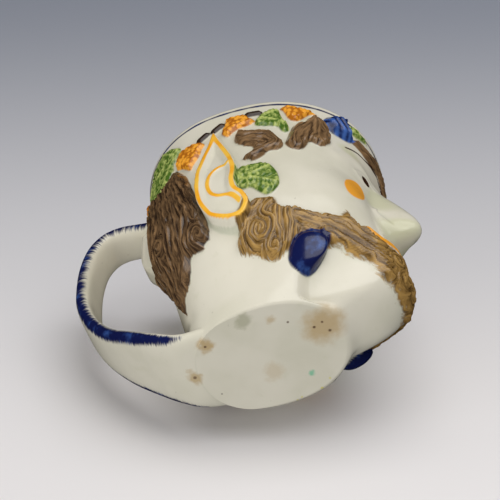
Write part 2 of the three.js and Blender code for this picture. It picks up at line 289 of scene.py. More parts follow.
HORN = [
    (32, 97.5), (31.5, 100.5), (30, 103.5), (27.5, 105.5), (25, 106.5), (22.5, 107), (20.7, 105.5),
    (21, 101.5), (19, 99), (17.8, 97.5), (20.5, 94.5), (23.5, 93.5), (26.5, 93.5), (29, 94),
    (30.7, 95.5),
]
LIP_LINE = [(-4, 30.5), (4, 30.5), (9, 29.5), (13, 28.3), (16, 28.8), (19, 30.3)]
HAIR_LINE = [(22, 89.5), (18.5, 91.5), (15, 93), (11, 94), (6.5, 95.5), (1, 97.5), (-5, 101)]
BROW_RIDGE = [(26, 79), (20, 83.5), (13, 83.5), (7, 80)]
UPPER_LID = [(7.5, 75), (10.5, 79), (14.5, 79.5), (18.5, 76)]
LOWER_LID = [(7.5, 75), (11, 72.5), (15, 72.5), (18.5, 76)]
NOSTRIL_CREASE = [(8.7, 53.9), (7.9, 52), (6.9, 49), (5.6, 47.1), (3.8, 46.1)]

# Vine leaves with the place their veins spring from, and bunches of grapes
LEAVES = [
    {"stem": (64, 56.5), "edge": [
        (67, 61.5), (65.5, 64), (62.5, 64), (59.5, 64.5), (56.5, 64), (54, 62.5), (52, 58.5),
        (51, 54.5), (51, 50.5), (52.5, 47.5), (54.5, 45.5), (57, 45.5), (61.5, 50), (64, 50.5),
        (66.5, 51), (68, 52.5),
    ]},
    {"stem": (57.5, 97.5), "edge": [
        (58, 95.5), (56, 99.5), (53.5, 102), (51, 103.5), (48.5, 102.5), (48, 99.5), (47, 95),
        (45.5, 92), (45.5, 87.5), (47, 86), (48.5, 87.5), (50, 90), (55.5, 91.5), (58, 92.5),
    ]},
    {"stem": (20.5, 104.5), "edge": [
        (21, 105.5), (18.5, 106.5), (15.5, 106.5), (12.5, 106), (9.5, 105.5), (14, 103), (17.5, 101.5),
        (20, 103),
    ]},
    {"stem": (93, 94), "edge": [
        (91, 96.5), (94.5, 101.5), (98, 103.5), (101.5, 104.5), (108.5, 102.5), (114, 98), (118, 93),
        (115, 87.5), (109, 83.5), (104, 79), (101.5, 79.5), (98.5, 84), (95.5, 85.5), (95, 89.5),
    ]},
]
GRAPES = [
    [(79.5, 89.5), (81, 86), (82.5, 82), (85, 79), (87, 76.5), (90.5, 81), (93.5, 83.5), (93.5, 87),
     (92.5, 90), (90, 92.5), (83, 92)],
    [(70, 100.5), (67, 101.5), (61.5, 100.5), (59.5, 97), (58, 95.5), (61, 93), (64, 92.5),
     (67.5, 90.5), (69, 88.5), (71, 89.5), (72, 92.5), (70.5, 96.5)],
    [(48, 103.5), (45.5, 105), (42, 104.5), (38.5, 104), (36, 103), (33, 102.5), (36.5, 101.5),
     (38.5, 99), (41, 95.5), (43.5, 94.5), (45.5, 96.5), (46.5, 100.5)],
    [(120, 96), (124, 99.5), (129, 98.5), (131, 93), (129, 87), (124, 85), (120.5, 89)],
]
STEMS = [[(81.5, 93.5), (78.5, 95.5)], [(75, 96), (72, 98.5)], [(60.5, 101.5), (56.5, 101.5)]]


# Share of a curl's size that is gone at its middle
CURL_CLOSING = 0.88


def spiral(centre, size, wind, start=0.0, turns=1.5, steps=14):
    """Places along a curl that winds in to its middle."""
    places = []
    for k in range(steps + 1):
        share = k / steps
        angle = start + wind * 2 * math.pi * turns * share
        out = size * (1 - CURL_CLOSING * share)
        places.append((centre[0] + out * math.cos(angle), centre[1] + out * math.sin(angle)))
    return places


# Locks of the back hair: the first ends in a rolled curl, the others are drawn to the point of the hair
HAIR_LOCKS = [
    [(90, 75.5), (87.5, 63.5), (85.5, 54), (83.5, 46)] + spiral((88, 36.5), 5.5, 1, 2.6),
    [(92.5, 75.5), (90, 62.5), (88, 52.5), (87, 45)],
    [(94.5, 72), (92, 58), (91, 49), (93.5, 42), (96, 37), (97.5, 32), (101, 28), (106, 25)],
    [(98, 74), (97, 60), (97, 48), (99.5, 40), (100.5, 34), (104, 29), (111, 24.5)],
    [(102.5, 77), (101.5, 62), (102.5, 51), (105, 43), (107, 37), (109, 31), (113, 25), (118, 19)],
    spiral((109.5, 49.5), 3.4, -1, 0.5),
    [(108.5, 80), (106.5, 65), (107.5, 56), (113.5, 50), (114.5, 42), (115.5, 33), (117, 24)],
    [(115, 83), (113, 70), (114, 59), (119, 51), (120, 41), (119.5, 31)],
    [(122, 78), (120.5, 66), (122, 55), (124.5, 46), (123.5, 36)],
]
TEMPLE_LOCKS = [[(66.5, 84.5), (60, 84), (54, 82), (50.7, 77.5), (53, 73.5), (57, 71.5), (61.5, 68.5)]]
FRONT_LOCKS = [
    [(35.5, 99.5), (39.5, 91), (44, 82), (44.5, 75.5)],
    [(35.5, 99), (36.5, 90), (38.5, 81)],
    [(34.5, 98.5), (31.5, 91), (31, 84.5)],
]
BROW_LOCKS = [[(19, 98.5), (12, 98), (5, 99.5), (-5, 103)]]

# Locks of the beard: a clump by the ear, long locks along the jaw, and curls by the mouth and at the chin
BEARD_LOCKS = [
    [(58.5, 41), (65, 36.5), (70, 30), (70.5, 23)],
    [(55, 40)] + spiral((60.5, 29.5), 7, 1, 1.9, 1.3),
    spiral((54, 22), 4.2, -1, 1.2),
    [(52.5, 37), (52, 29), (50.5, 22), (52, 17.5)],
    [(49, 35), (48, 27), (48.5, 20)],
    [(45, 34), (37, 30.5), (29, 27.5), (23, 24), (16.5, 20.5), (11, 18)],
    [(33, 31.5), (27, 31), (23, 27.5), (18.5, 25), (13, 24)],
    [(33, 26), (25.5, 22), (19, 18), (14, 14), (9, 11)],
    spiral((8, 21.5), 4, 1, 2.2),
    spiral((2.5, 14.5), 4, -1, 0.8),
]

# Long nose with a drooping tip and small wings, pressed a little to one side
NOSE_RISE = [(38, 0), (41, 1.5), (44, 8), (47, 13), (52, 13.8), (60, 11.3), (68, 7.5), (76, 3), (84, 0)]
NOSE_HALF_WIDTH = [(40, 2.5), (44, 4.2), (48, 5.7), (56, 6.6), (70, 5.6), (84, 4.6)]
NOSE_SHIFT = 1.5
NOSE_BLUNTNESS = 2.5

# Grid over the outside of the head, finer on the right side, where the carving is sharper
row_z = MUG_HEIGHT * np.linspace(0, 1, ROWS + 1) ** ROW_CROWDING
column_turn = np.concatenate([
    np.linspace(-CARVED_TURN, 0, RIGHT_COLUMNS, endpoint=False),
    np.linspace(0, CARVED_TURN, LEFT_COLUMNS, endpoint=False),
    np.linspace(CARVED_TURN, 2 * math.pi - CARVED_TURN, BACK_COLUMNS, endpoint=False),
])
column_turn = np.where(column_turn > math.pi, column_turn - 2 * math.pi, column_turn)
COLUMNS = len(column_turn)
z, grid_turn = (a.ravel() for a in np.meshgrid(row_z, column_turn, indexing="ij"))
u = np.abs(grid_turn) * GIRTH_RADIUS

# Locks waver a little, and each differs from the next in where its strands lie
LOCK_BEND = 0.35
LOCK_SHIFT_ACROSS = 0.37
LOCK_SHIFT_ALONG = 31.0

# Waves that make up the strands: height, turns across and the length of a wave along
STRAND_WAVES = [(0.55, 1.0, math.inf), (0.3, 1.63, 4), (0.3, 0.57, 6)]


def strands(locks, width, pitch):
    """Uneven strands along the nearest lock, its crown, and the place across and along it."""
    best = np.full(u.shape, BEYOND)
    across = np.zeros(u.shape)
    along = np.zeros(u.shape)
    bent_u = u + LOCK_BEND * waver(u, z, 2.4)
    bent_z = z + LOCK_BEND * waver(z, u, 2.0)
    for number, lock in enumerate(locks):
        off, run = follow(bent_u, bent_z, lock)
        closer = np.abs(off) < best
        best = np.where(closer, np.abs(off), best)
        across = np.where(closer, off + LOCK_SHIFT_ACROSS * number, across)
        along = np.where(closer, run + LOCK_SHIFT_ALONG * number, along)
    turn = 2 * math.pi * across / pitch + 0.8 * np.sin(along / 3.3)
    ridge = sum(height * np.cos(turns * turn + along / length) for height, turns, length in STRAND_WAVES)
    crown = np.clip(1 - (best / width) ** 2, 0, 1)
    return {"ridge": np.where(best < FAR, ridge, 0), "crown": crown, "across": across, "along": along}


# Bunches: outline, locks, lock width, strand pitch, soft edge, and the rise of bunch, crown and strands
BUNCHES = {
    "back": (BACK_HAIR, HAIR_LOCKS, 4.2, 2.3, 2.2, 1.7, 1.4, 0.75),
    "temple": (TEMPLE_CURL, TEMPLE_LOCKS, 5.5, 2.0, 1.6, 1.5, 1.1, 0.45),
    "front": (FRONT_CURL, FRONT_LOCKS, 3.6, 2.0, 1.6, 1.6, 1.0, 0.45),
    "brow": (BROW_CURL, BROW_LOCKS, 4.0, 2.0, 1.6, 1.0, 0.6, 0.35),
    "beard": (BEARD, BEARD_LOCKS, 3.2, 2.0, 2.0, 1.6, 1.2, 0.7),
}
bunch_in = {}
bunch_grain = {}
bunch_rise = {}
for name, (outline, locks, width, pitch, soft, rise, crown_rise, strand_rise) in BUNCHES.items():
    grain = strands(locks, width, pitch)
    bunch_grain[name] = grain
    bunch_in[name] = inside(u, z, outline)
    height = rise + crown_rise * grain["crown"] + strand_rise * grain["ridge"]
    bunch_rise[name] = fade(-0.4, soft, bunch_in[name]) * height

# Vine leaves, with veins that fan out from the stem and small ribs between them
VEINS = 7
VEIN_WIDTH = 0.45
RIB_PITCH = 1.7
LEAF_RISE = 1.3
leaf_in = np.full(u.shape, -FAR)
leaf_vein = np.zeros(u.shape)
leaf_rise = np.zeros(u.shape)
for leaf in LEAVES:
    edge = inside(u, z, leaf["edge"])
    stem_u, stem_z = leaf["stem"]
    angle = np.arctan2(z - stem_z, u - stem_u)
    run = np.hypot(u - stem_u, z - stem_z)
    spread = run * np.abs(np.sin(angle * VEINS / 2)) * 2 / VEINS
    vein = welt(spread, 1.0, VEIN_WIDTH) * fade(0.2, 1.2, edge) * fade(0.4, 2.0, run)
    ribs = np.cos(2 * math.pi * (run - 1.1 * spread) / RIB_PITCH + waver(u, z, 2.0))
    pick = (edge > leaf_in) & (edge > -1)
    leaf_in = np.maximum(leaf_in, edge)
    leaf_vein = np.where(pick, np.maximum(vein, 0.5 * fade(0.1, 1, ribs)), leaf_vein)
    leaf_rise = np.maximum(leaf_rise, fade(-0.3, 1.0, edge) * (LEAF_RISE + 0.35 * vein + 0.2 * ribs))

# Grapes, round beads in uneven staggered rows
GRAPE_PITCH = 2.4
GRAPE_ROW = GRAPE_PITCH * 0.866
GRAPE_RADIUS = 0.62 * GRAPE_PITCH
GRAPE_UNEVENNESS = 0.45
BUNCH_RISE = 1.3
BEAD_RISE = 1.0
grape_in = np.full(u.shape, -FAR)
for bunch in GRAPES:
    grape_in = np.maximum(grape_in, inside(u, z, bunch))
shifted_u = u + GRAPE_UNEVENNESS * waver(u, z, 3.1)
shifted_z = z + GRAPE_UNEVENNESS * waver(z, u, 2.7)
grape_row = np.round(shifted_z / GRAPE_ROW)
grape_u = shifted_u / GRAPE_PITCH - 0.5 * (grape_row % 2)
bead_u = (grape_u - np.round(grape_u)) * GRAPE_PITCH
bead_z = shifted_z - grape_row * GRAPE_ROW
grape_bead = np.sqrt(np.clip(1 - (np.hypot(bead_u, bead_z) / GRAPE_RADIUS) ** 2, 0, 1))
grape_rise = fade(-0.3, 1.4, grape_in) * (BUNCH_RISE + BEAD_RISE * grape_bead)

# Short stems between the bunches
STEM_HALF_WIDTH = 1.8
STEM_RISE = 1.2
stem_in = np.full(u.shape, -FAR)
for stem in STEMS:
    stem_in = np.maximum(stem_in, STEM_HALF_WIDTH - np.abs(follow(u, z, stem)[0]))
stem_rise = STEM_RISE * fade(-0.3, 1.2, stem_in)

# Horn with slanting ribs
HORN_RISE = 3.6
HORN_RIB_RISE = 0.4
HORN_RIB_PITCH = 2.6
horn_in = inside(u, z, HORN)
horn_ribs = np.cos(2 * math.pi * (0.8 * u - 0.5 * z) / HORN_RIB_PITCH)
horn_rise = fade(-0.4, 3.2, horn_in) * (HORN_RISE + HORN_RIB_RISE * horn_ribs)

# Ear, standing off further toward its lobe, dished inside and with a raised line round its bowl
EAR_STAND = 3.4
EAR_LOBE_STAND = 6.0
EAR_DISH = 1.8
BOWL_LINE_RISE = 0.8
BOWL_LINE_WIDTH = 1.2
ear_in = inside(u, z, EAR)
bowl_across = follow(u, z, EAR_BOWL)[0]
ear_stand = EAR_STAND + (EAR_LOBE_STAND - EAR_STAND) * fade(86, 40, z)
ear_dish = EAR_DISH * fade(1.8, 4.8, ear_in)
bowl_rise = welt(bowl_across, BOWL_LINE_RISE, BOWL_LINE_WIDTH) * fade(0.5, 2, ear_in)
ear_rise = fade(-0.5, 0.6, ear_in) * ear_stand - ear_dish + bowl_rise

# Wattle, a round drop under the jaw on each side
WATTLE_SQUARENESS = 2.2
WATTLES = {
    "right": {"centre": (38.7, 18.9), "size": (8.0, 7.5), "rise": 4.5},
    "left": {"centre": (39, 21.5), "size": (6.5, 7.0), "rise": 4.5},
}
wattle_in = np.full(u.shape, -FAR)
wattle_rise = np.zeros(u.shape)
for side, drop in WATTLES.items():
    here = (grid_turn > 0) == (side == "left")
    (middle_u, middle_z), (half_u, half_z) = drop["centre"], drop["size"]
    across_part = np.abs((u - middle_u) / half_u) ** WATTLE_SQUARENESS
    up_part = np.abs((z - middle_z) / half_z) ** WATTLE_SQUARENESS
    out = across_part + up_part
    wattle_in = np.where(here, (1 - out ** (1 / WATTLE_SQUARENESS)) * half_u, wattle_in)
    ball = drop["rise"] * np.sqrt(np.clip(1 - out, 0, None)) + hollows(grid_turn, z) * fade(1, 0.6, out)
    wattle_rise = np.where(here, ball, wattle_rise)

# Soft swellings and hollows of the face: height, centre and half size
NOSE_WING = (1.1, (6.5, 47.5), (5, 6))
FACE_MOUNDS = {
    "eye socket": (-0.5, (13, 77), (9, 7)),
    "eyeball": (0.6, (13, 75.7), (8, 6)),
    "cheek": (1.6, (28, 52), (18, 18)),
    "under the nose": (-4.0, (0, 37.5), (11, 7.5)),
}

# Raised lines of the face: height, width and line
FACE_LINES = [(0.5, 3.6, BROW_RIDGE), (0.15, 0.8, UPPER_LID), (0.1, 0.8, LOWER_LID)]
LIP_RISE = 2.2
LIP_HALF_WIDTH = 3.0

nose_across = np.abs(grid_turn * GIRTH_RADIUS + NOSE_SHIFT)
nose_ridge = np.exp(-((nose_across / curve_through(NOSE_HALF_WIDTH, z)) ** NOSE_BLUNTNESS))
nose_rise = curve_through(NOSE_RISE, z) * nose_ridge + mound(nose_across, z, *NOSE_WING)
crease_across = follow(nose_across, z, NOSTRIL_CREASE)[0]
nose_rise = nose_rise + welt(crease_across - 1.2, 0.9, 1.2) + welt(crease_across, -0.8, 0.9)
lip_across = follow(u, z, LIP_LINE)[0]
lip_rise = LIP_RISE * np.sqrt(np.clip(1 - (lip_across / LIP_HALF_WIDTH) ** 2, 0, 1))
face_rise = nose_rise + lip_rise + welt(lip_across, -0.9, 0.5)
for swelling in FACE_MOUNDS.values():
    face_rise = face_rise + mound(u, z, *swelling)
for height, width, line in FACE_LINES:
    face_rise = face_rise + welt(follow(u, z, line)[0], height, width)

on_head = np.maximum.reduce([
    np.zeros(u.shape), *bunch_rise.values(), leaf_rise, grape_rise, stem_rise, horn_rise, ear_rise,
    wattle_rise,
])

# Swelling at the back of the neck that carries the lower end of the handle
SPUR_RISE = 5.0
spur = SPUR_RISE * fade(100, BACK_MIDDLE, u) * fade(17, 3, z) * fade(0, 3, z)

# Clay that carries the upper end of the handle: its rise at each level
ROOT_RISE = [(68, 0), (74, 2.5), (80, 6.5), (85, 8.2), (93, 8.2), (104, 7)]
ROOT_HALF_WIDTH = 7.0
root_share = fade(1.3 * ROOT_HALF_WIDTH, 0.5 * ROOT_HALF_WIDTH, BACK_MIDDLE - u)
root = curve_through(ROOT_RISE, z) * root_share

# Relief dies away toward the foot and the rim
carved = fade(2, 8, z) * fade(MUG_HEIGHT - 1, MUG_HEIGHT - 5, z)
relief = (face_rise + on_head + root) * carved + spur
lip_round = RIM_ROUND * (1 - np.sqrt(1 - np.clip((z - MUG_HEIGHT) / RIM_ROUND + 1, 0, 1) ** 2))
foot_round = FOOT_ROUND * (1 - np.sqrt(1 - np.clip(1 - z / FOOT_ROUND, 0, 1) ** 2)) * fade(105, 85, u)
outer_radius = plain_radius(grid_turn, z) + relief - lip_round - foot_round


def spread_out(grid, times):
    """Grid averaged with its neighbours, over and over."""
    for _ in range(times):
        padded = np.pad(grid, ((1, 1), (0, 0)), mode="edge")
        grid = (padded[:-2] + padded[2:] + np.roll(grid, 1, axis=1) + np.roll(grid, -1, axis=1)) / 4
    return grid


HOLLOW_SPREAD = 12
relief_grid = relief.reshape(ROWS + 1, COLUMNS)
hollow = (spread_out(relief_grid, HOLLOW_SPREAD) - relief_grid).ravel()


def ring(radius, level):
    """Points round the head at one level."""
    x, y = radius * np.sin(column_turn), -radius * np.cos(column_turn)
    return np.column_stack([x, y, np.full(COLUMNS, level)])


# Rings from the underside of the foot, up the outside, over the rim and down to the floor inside
FOOT_INSETS = (3, 1)
INNER_CROWDING = 1.25
foot_edge = outer_radius[:COLUMNS]
rings = [ring(foot_edge - inset, 0.0) for inset in FOOT_INSETS]
first_outer = len(rings) * COLUMNS
for k, level in enumerate(row_z):
    rings.append(ring(outer_radius[k * COLUMNS : (k + 1) * COLUMNS], level))
for share in np.linspace(0, 1, INNER_ROWS):
    level = FLOOR_THICKNESS + (MUG_HEIGHT - FLOOR_THICKNESS) * (1 - share) ** INNER_CROWDING
    below = plain_radius(column_turn, np.full(COLUMNS, max(level - FLOOR_THICKNESS, 1.0)))
    beside = plain_radius(column_turn, np.full(COLUMNS, level))
    rings.append(ring(np.minimum(below, beside) - WALL + RIM_ROUND * fade(0.03, 0, share), level))
points = np.vstack(rings).tolist()
faces = []
for row in range(len(rings) - 1):
    for column in range(COLUMNS):
        a = row * COLUMNS + column
        b = row * COLUMNS + (column + 1) % COLUMNS
        faces.append((a, b, b + COLUMNS, a + COLUMNS))
for row, level, downward in ((0, 0.0, True), (len(rings) - 1, FLOOR_THICKNESS, False)):
    points.append([0, 0, level])
    for column in range(COLUMNS):
        a = row * COLUMNS + column
        b = row * COLUMNS + (column + 1) % COLUMNS
        faces.append((len(points) - 1, b, a) if downward else (len(points) - 1, a, b))

# Strap handle
STRAP_LINE = [
    (41.5, 104.5), (51, 107.5), (60, 109.8), (67, 108.2), (72.3, 101.5), (75.2, 90.5), (76.2, 77),
    (75.4, 62), (70, 45), (59.5, 28), (45.5, 12.8), (39, 7.1), (34.5, 4.3), (30, 3.3), (24, 3.25),
    (19, 3.25),
]
STRAP_HALF_WIDTH = [
    (0, 8.3), (0.2, 8.3), (0.35, 9.2), (0.5, 10.5), (0.65, 12.5), (0.75, 15), (0.86, 17.2), (0.93, 18),
    (1, 19),
]
STRAP_SWAY = [(0, 0), (0.6, 0), (0.78, 2.6), (0.86, 3.4), (0.9, 3), (0.95, 1.5), (1, 1)]
STRAP_THICKNESS = 6.4
STRAP_EDGE_POWER = 0.5
STRAP_FACE_POWER = 0.7


def squared(wave, power):
    """Wave pulled toward a square one."""
    return np.sign(wave) * np.abs(wave) ** power


strap_line = smooth_line(STRAP_LINE, False, 40)
strap_run = np.concatenate([[0], np.cumsum(np.hypot(*np.diff(strap_line, axis=0).T))])
strap_t = np.linspace(0, 1, STRAP_STEPS + 1)
strap_y = np.interp(strap_t * strap_run[-1], strap_run, strap_line[:, 0])
strap_z = np.interp(strap_t * strap_run[-1], strap_run, strap_line[:, 1])
tangent = np.column_stack([np.gradient(strap_y), np.gradient(strap_z)])
tangent /= np.linalg.norm(tangent, axis=1)[:, None]
strap_half = curve_through(STRAP_HALF_WIDTH, strap_t)
side_turn = 2 * math.pi * np.arange(STRAP_SIDES) / STRAP_SIDES
side_across = squared(np.cos(side_turn), STRAP_EDGE_POWER)
side_thick = squared(np.sin(side_turn), STRAP_FACE_POWER)
strap_x = strap_half[:, None] * side_across[None, :] - curve_through(STRAP_SWAY, strap_t)[:, None]
offset = (STRAP_THICKNESS / 2) * side_thick[None, :]
strap_py = strap_y[:, None] - tangent[:, 1:2] * offset
strap_pz = strap_z[:, None] + tangent[:, 0:1] * offset
strap_first = len(points)
points += np.stack([strap_x, strap_py, strap_pz], axis=-1).reshape(-1, 3).tolist()
for j in range(STRAP_STEPS):
    for i in range(STRAP_SIDES):
        a = strap_first + j * STRAP_SIDES + i
        b = strap_first + j * STRAP_SIDES + (i + 1) % STRAP_SIDES
        faces.append((a, a + STRAP_SIDES, b + STRAP_SIDES, b))
for row, flip in ((0, False), (STRAP_STEPS, True)):
    end_ring = [strap_first + row * STRAP_SIDES + i for i in range(STRAP_SIDES)]
    faces.append(tuple(reversed(end_ring)) if flip else tuple(end_ring))

mesh = bpy.data.meshes.new("satyr_mug")
mesh.from_pydata([(x * MM, y * MM, h * MM) for x, y, h in points], [], faces)
mesh.update()

# The underside is flat shaded; the rest is smooth
UNDERSIDE = 0.02
flat = [all(points[corner][2] < UNDERSIDE for corner in face) for face in faces]
mesh.polygons.foreach_set("use_smooth", [not level for level in flat])
mug = bpy.data.objects.new("satyr_mug_glazed", mesh)
bpy.context.scene.collection.objects.link(mug)

# Paint, held as distances inside each painted place
CHEEK_DAB = {"centre": (21, 58), "size": (4.8, 9), "lean": 0.41}
PUPIL = {"centre": (12.5, 75.3), "size": (2.3, 3.0), "lean": 0.0}
HAIR_TONES = {"back": -0.5, "temple": 0.2, "front": 0.2, "brow": 0.2}
STEM_TONE = -1.6
DAB_TONE = 0.9
HAIR_LINE_HALF_WIDTH = 0.45
LIP_PAINT_HALF_WIDTH = 1.5
RIM_LINE_BELOW = 3.4
RIM_LINE_HALF_WIDTH = 0.6
WATTLE_PAINT_PAST = 0.3
EAR_LINE_INSET = 1.45
EAR_LINE_HALF_WIDTH = 0.85
BOWL_PAINT_HALF_WIDTH = 0.8
hair_paint = stem_in.copy()
strand, grain_across, grain_along = (bunch_grain["beard"][part] for part in ("ridge", "across", "along"))
for name, tone in HAIR_TONES.items():
    grain = bunch_grain[name]
    hair_paint = np.maximum(hair_paint, bunch_in[name] + 0.2 * grain["ridge"])
    here = bunch_in[name] > -1
    strand = np.where(here, grain["ridge"] + tone, strand)
    grain_across = np.where(here, grain["across"], grain_across)
    grain_along = np.where(here, grain["along"], grain_along)
strand = np.where(stem_in > -1, STEM_TONE, strand)
hair_line = HAIR_LINE_HALF_WIDTH - np.abs(follow(u, z, HAIR_LINE)[0])
dabs = np.maximum(oval_inside(u, z, **CHEEK_DAB), LIP_PAINT_HALF_WIDTH - np.abs(lip_across))
rim_line = RIM_LINE_HALF_WIDTH - np.abs(z - (MUG_HEIGHT - RIM_LINE_BELOW + 0.15 * waver(u, z, 9.0)))
ear_edge = EAR_LINE_HALF_WIDTH - np.abs(ear_in - EAR_LINE_INSET)
bowl_line = BOWL_PAINT_HALF_WIDTH - np.abs(bowl_across) - 4 * (ear_in < 0.6)
painted_places = {
    "hair": hair_paint,
    "beard": bunch_in["beard"],
    "dark_line": np.maximum(hair_line, oval_inside(u, z, **PUPIL)),
    "orange": np.maximum(grape_in, dabs),
    "green": leaf_in,
    "blue": np.maximum.reduce([wattle_in + WATTLE_PAINT_PAST, horn_in, rim_line]),
    "ear_line": np.maximum(ear_edge, bowl_line),
}

# How light the paint is within leaves, dabs and horn; the horn's blue is lighter, and lighter still along
# each rib, partly its own paint and partly a painted highlight
detail = np.where(grape_in > -0.5, 0, leaf_vein)
detail = np.where(dabs > -0.5, DAB_TONE, detail)
detail = np.where(horn_in > -0.5, 0.75 + 0.6 * horn_ribs, detail)

# Glaze gathers round the nose and in the corner of the brow
POOLS = [((10, 62), (9, 10)), ((6, 46), (9, 7)), ((8, 70), (6, 7)), ((20, 88), (9, 5))]
pool = sum(mound(u, z, 1.0, centre, size) for centre, size in POOLS)

# Blue edge of the strap, brushed over the inner face above and widening on the outer face toward the foot
BLUE_OUTER = [(0, 1.0), (0.4, 1.6), (0.6, 2.8), (0.78, 3.4), (0.88, 2.6), (0.93, 0.5), (0.97, -3)]
BLUE_INNER = [(0, 0.1), (0.45, 0.2), (0.6, 0.2), (0.75, -0.6), (1, -3)]
outer_share = fade(-0.6, 0.6, side_thick)[None, :]
blue_outer, blue_inner = (curve_through(width, strap_t)[:, None] for width in (BLUE_OUTER, BLUE_INNER))
left_inner = (side_across > 0)[None, :] * (1 - outer_share)
blue_width = blue_inner + (blue_outer - blue_inner) * outer_share - 2 * left_inner
strap_blue = strap_half[:, None] * (np.abs(side_across)[None, :] - 1) + blue_width
along_strap = np.broadcast_to((strap_t * strap_run[-1])[:, None], strap_x.shape)


def paint(name, on_body, on_strap=None, elsewhere=0.0):
    """Values for the material, on the outside of the head and on the strap."""
    values = np.full(len(points), elsewhere, float)
    values[first_outer : first_outer + len(on_body)] = on_body
    if on_strap is not None:
        values[strap_first : strap_first + on_strap.size] = on_strap.ravel()
    layer = mesh.attributes.new(name, "FLOAT", "POINT")
    layer.data.foreach_set("value", values.astype(np.float32))


for name, place_in in painted_places.items():
    paint(name, place_in, elsewhere=-FAR)
paint("strap_blue", np.full(u.shape, -FAR), strap_blue, elsewhere=-FAR)
paint("strand", strand)
paint("grain_across", grain_across, along_strap)
paint("grain_along", grain_along, np.abs(strap_x))
paint("pool", pool)
paint("detail", detail)
paint("hollow", hollow)


# Materials
def srgb(red, green, blue):
    """Colour for a shader from the values a screen shows, 0 to 255."""
    parts = []
    for value in (red, green, blue):
        c = value / 255
        parts.append(c / 12.92 if c <= 0.04045 else ((c + 0.055) / 1.055) ** 2.4)
    return (*parts, 1.0)


# Glaze and paint, each from one shade to the other
CREAM = (srgb(227, 221, 202), srgb(217, 212, 191))
CREAM_CLOUD = srgb(206, 203, 174)
CREAM_IN_HOLLOWS = srgb(188, 192, 166)
CREAM_POOL = srgb(206, 206, 164)
CREAM_SPECK = srgb(150, 140, 116)
# The lighter ends of the hair and beard browns serve partly as painted highlights on the strands
HAIR_BROWN = (srgb(50, 36, 26), srgb(154, 120, 82))
BEARD_BROWN = (srgb(70, 46, 18), srgb(190, 150, 84))
LEAF_GREEN = (srgb(76, 108, 36), srgb(188, 200, 112))
GRAPE_ORANGE = (srgb(184, 108, 26), srgb(250, 172, 56))
BLUE = (srgb(20, 27, 74), srgb(72, 110, 184))
EAR_YELLOW = (srgb(244, 168, 32), srgb(250, 196, 72))
LINE_BROWN = srgb(62, 38, 24)


class Nodes:
    """Short ways to add shader nodes to one material."""

    def __init__(self, name):
        self.material = bpy.data.materials.new(name)
        self.material.use_nodes = True
        self.tree = self.material.node_tree
        self.tree.nodes.clear()
        self.output = self.tree.nodes.new("ShaderNodeOutputMaterial")

    def add(self, kind, **settings):
        """New node with some of its properties set."""
        node = self.tree.nodes.new(kind)
        for key, value in settings.items():
            setattr(node, key, value)
        return node

    def join(self, source, target):
        """Feed a socket from another one, or with a plain value."""
        if hasattr(source, "is_output"):
            self.tree.links.new(source, target)
        else:
            target.default_value = source

    def value(self, name):
        """Values painted on the mesh."""
        return self.add("ShaderNodeAttribute", attribute_name=name).outputs["Fac"]

    def math(self, operation, first, second=0.0):
        node = self.add("ShaderNodeMath", operation=operation)
        self.join(first, node.inputs[0])
        self.join(second, node.inputs[1])
        return node.outputs[0]

    def ramp(self, source, low, high, to_low=0.0, to_high=1.0):
        """Smooth step between two values."""
        node = self.add("ShaderNodeMapRange", interpolation_type="SMOOTHSTEP")
        self.join(source, node.inputs["Value"])
        node.inputs["From Min"].default_value = low
        node.inputs["From Max"].default_value = high
        node.inputs["To Min"].default_value = to_low
        node.inputs["To Max"].default_value = to_high
        return node.outputs["Result"]

    def mix(self, factor, first, second):
        node = self.add("ShaderNodeMix", data_type="RGBA")
        self.join(factor, node.inputs["Factor"])
        self.join(first, node.inputs[6])
        self.join(second, node.inputs[7])
        return node.outputs[2]

    def noise(self, place, scale, detail=3.0, roughness=0.5):
        node = self.add("ShaderNodeTexNoise")
        self.join(place, node.inputs["Vector"])
        node.inputs["Scale"].default_value = scale
        node.inputs["Detail"].default_value = detail
        node.inputs["Roughness"].default_value = roughness
        return node.outputs["Fac"]


# Stains, pits and specks on the underside of the foot: place, radius, strength and colour
BROWN_STAIN = srgb(188, 158, 104)
OLIVE_STAIN = srgb(150, 150, 116)
PIT = srgb(84, 58, 44)
GREEN_SPECK = srgb(120, 196, 156)
YELLOW_SPECK = srgb(214, 204, 104)
STAINS = [
    ((-6.7, -22.9), 11.0, 0.75, BROWN_STAIN), ((-13.7, 22.1), 4.6, 0.8, BROWN_STAIN),
    ((-1.4, 30.8), 4.2, 0.7, BROWN_STAIN), ((7.3, 1.5), 6.0, 0.3, BROWN_STAIN),
    ((-16.4, -4.9), 2.6, 0.5, BROWN_STAIN), ((-19.6, 4.2), 4.5, 0.5, OLIVE_STAIN),
    ((-7.2, -19.2), 0.8, 0.9, PIT), ((-8.3, -22.7), 0.9, 0.9, PIT), ((-3.6, -24.3), 1.1, 0.9, PIT),
    ((-13.0, -10.8), 0.7, 0.8, PIT), ((-13.7, 22.1), 0.9, 0.9, PIT), ((-1.4, 30.8), 0.9, 0.7, PIT),
    ((9.7, 23.9), 0.7, 0.8, PIT), ((12.7, 26.7), 0.6, 0.7, PIT),
    ((13.0, -11.4), 1.9, 0.8, GREEN_SPECK),
    ((17.9, -17.1), 1.1, 0.8, YELLOW_SPECK), ((21.3, -12.7), 1.0, 0.8, YELLOW_SPECK),
    ((22.6, -4.1), 0.9, 0.8, YELLOW_SPECK), ((23.4, -2.2), 0.9, 0.8, YELLOW_SPECK),
]

# Metres by which the edges of stains wander, and painted beads to the metre on the grapes, each bead
# painted lighter in its middle and darker at its edge as painted shade between beads
STAIN_WANDER = 0.0018
BEADS_PER_METRE = 470.0

# Gloss of the glaze and its slight unevenness
GLAZE_INDEX = 1.52
GLAZE_ROUGHNESS = (0.14, 0.22)
UNEVEN_STRENGTH = 0.12
UNEVEN_DEPTH = 0.0004


